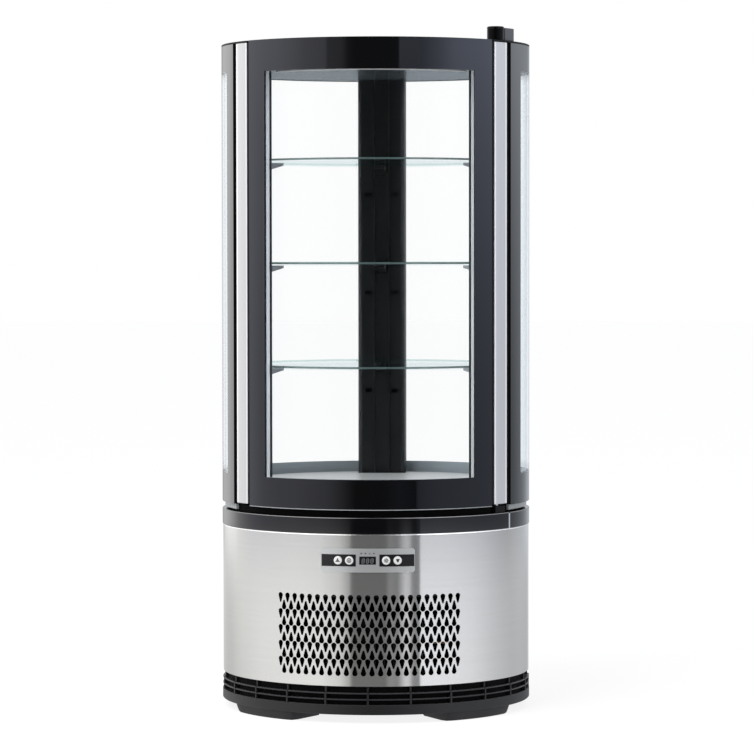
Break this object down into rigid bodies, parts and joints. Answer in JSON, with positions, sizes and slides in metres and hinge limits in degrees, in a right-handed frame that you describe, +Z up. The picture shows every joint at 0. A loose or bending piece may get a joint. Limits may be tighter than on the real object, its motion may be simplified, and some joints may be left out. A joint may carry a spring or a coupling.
{
  "type": "display cabinet",
  "caption": "Round refrigerated countertop display cabinet: glass cylinder with a curved hinged door and fixed glass shelves on a perforated steel machine base.",
  "frame": {"origin": "centre of the round footprint, on the surface that the feet stand on", "axes": "+Z up along the cabinet's centre line; the door and the controls face -Y, the door hinge is on the +X side"},
  "size_m": [0.48, 0.4806, 1.05],
  "materials": {
    "black_plastic": "moulded, slightly textured",
    "dark_plastic": "smooth semi-gloss",
    "rubber": "matt",
    "steel": "horizontal brush",
    "galvanised": "dull zinc",
    "aluminium": "satin anodised",
    "copper": "drawn copper tube",
    "compressor_black": "black enamel",
    "foam_white": "white liner",
    "white": "white enamel",
    "silver": "silver lacquer",
    "display": "smoked window",
    "button_white": "gloss",
    "board_green": "circuit board",
    "glass": "clear",
    "light": "diffuser"
  },
  "bodies": {
    "cabinet": {"louvre_skirt": "black_plastic", "control_housing": "black_plastic", "trim_ring": "dark_plastic", "drain_pan": "dark_plastic", "insulated_deck": "dark_plastic", "post_left": "dark_plastic", "post_right": "dark_plastic", "air_duct": "dark_plastic", "shelf_rail": "dark_plastic", "side_spacer_left": "dark_plastic", "side_spacer_right": "dark_plastic", "rear_joint_strip": "dark_plastic", "top_plate": "dark_plastic", "hinge_cap": "dark_plastic", "hinge_bracket": "dark_plastic", "foot_front_left": "rubber", "foot_front_right": "rubber", "foot_rear_left": "rubber", "foot_rear_right": "rubber", "cord_gland": "rubber", "casing_front": "steel", "casing_rear": "steel", "hinge_pin_top": "steel", "hinge_pin_bottom": "steel", "base_tray": "galvanised", "condenser_fan_frame": "galvanised", "evaporator_fan_frame": "galvanised", "ring_joint_strip": "aluminium", "evaporator_coil": "aluminium", "discharge_pipe": "copper", "suction_pipe": "copper", "compressor": "compressor_black", "condenser_coil": "compressor_black", "evaporator_tub": "foam_white", "ceiling_panel": "foam_white", "floor_panel": "white", "control_plate": "silver", "display_window": "display", "control_board": "board_green", "shelf_lower": "glass", "shelf_middle": "glass", "shelf_upper": "glass", "side_glass_outer_left": "glass", "side_glass_inner_left": "glass", "side_glass_outer_right": "glass", "side_glass_inner_right": "glass", "light_bar": "light"},
    "door": {"door_glass_outer": "glass", "door_glass_inner": "glass", "door_frame": "dark_plastic", "door_trim_left": "aluminium", "door_trim_right": "aluminium", "door_gasket": "rubber"},
    "condenser_rotor": {"condenser_fan_rotor": "dark_plastic"},
    "evaporator_rotor": {"evaporator_fan_rotor": "dark_plastic"},
    "button_left_outer_cap": {"button_left_outer": "button_white"},
    "button_left_inner_cap": {"button_left_inner": "button_white"},
    "button_right_inner_cap": {"button_right_inner": "button_white"},
    "button_right_outer_cap": {"button_right_outer": "button_white"}
  },
  "joints": [
    {"name": "door_hinge", "type": "hinge", "parent": "cabinet", "child": "door", "pos_m": [0.18946, -0.12684, 0.6765], "axis": [0, 0, 1], "range_deg": [0, 110]},
    {"name": "condenser_fan_spin", "type": "hinge", "parent": "cabinet", "child": "condenser_rotor", "pos_m": [0, -0.1117, 0.0806], "axis": [0, -1, 0], "continuous": true},
    {"name": "evaporator_fan_spin", "type": "hinge", "parent": "cabinet", "child": "evaporator_rotor", "pos_m": [0, 0.096, 0.24575], "axis": [0, -1, 0], "continuous": true},
    {"name": "button_left_outer_press", "type": "slide", "parent": "cabinet", "child": "button_left_outer_cap", "axis": [0.1874, 0.9823, 0], "range_m": [0, 0.0008], "stiffness_N_per_m": 900},
    {"name": "button_left_inner_press", "type": "slide", "parent": "cabinet", "child": "button_left_inner_cap", "axis": [0.1158, 0.9933, 0], "range_m": [0, 0.0008], "stiffness_N_per_m": 900},
    {"name": "button_right_inner_press", "type": "slide", "parent": "cabinet", "child": "button_right_inner_cap", "axis": [-0.1158, 0.9933, 0], "range_m": [0, 0.0008], "stiffness_N_per_m": 900},
    {"name": "button_right_outer_press", "type": "slide", "parent": "cabinet", "child": "button_right_outer_cap", "axis": [-0.1874, 0.9823, 0], "range_m": [0, 0.0008], "stiffness_N_per_m": 900}
  ]
}
